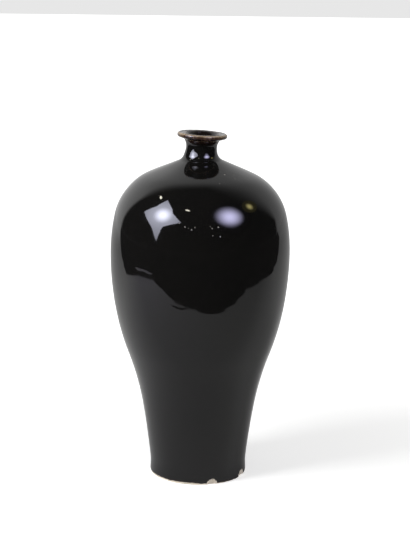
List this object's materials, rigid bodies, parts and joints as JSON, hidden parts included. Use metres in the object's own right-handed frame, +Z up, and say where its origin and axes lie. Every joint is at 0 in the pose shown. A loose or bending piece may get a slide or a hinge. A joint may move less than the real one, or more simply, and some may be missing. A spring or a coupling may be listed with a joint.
{
  "type": "meiping vase",
  "caption": "Tall black-glazed stoneware vase with a small leaning mouth, high round shoulders, a narrow waisted foot and a recessed base.",
  "frame": {"origin": "on the ground under the middle of the foot ring", "axes": "+Z up along the axis of the body, -Y towards the viewer of the picture, and the neck leans 3 degrees towards +X"},
  "size_m": [0.1746, 0.1746, 0.3401],
  "materials": {
    "stoneware": "matte",
    "slip": "matte",
    "black_glaze": "gloss",
    "russet_glaze": "gloss"
  },
  "bodies": {
    "root": {"lower_body": "stoneware", "shoulder_body": "stoneware", "neck": "stoneware", "belly_luting": "slip", "neck_luting": "slip", "outer_glaze": "black_glaze", "lip_glaze": "russet_glaze", "inner_glaze": "black_glaze"}
  },
  "joints": []
}
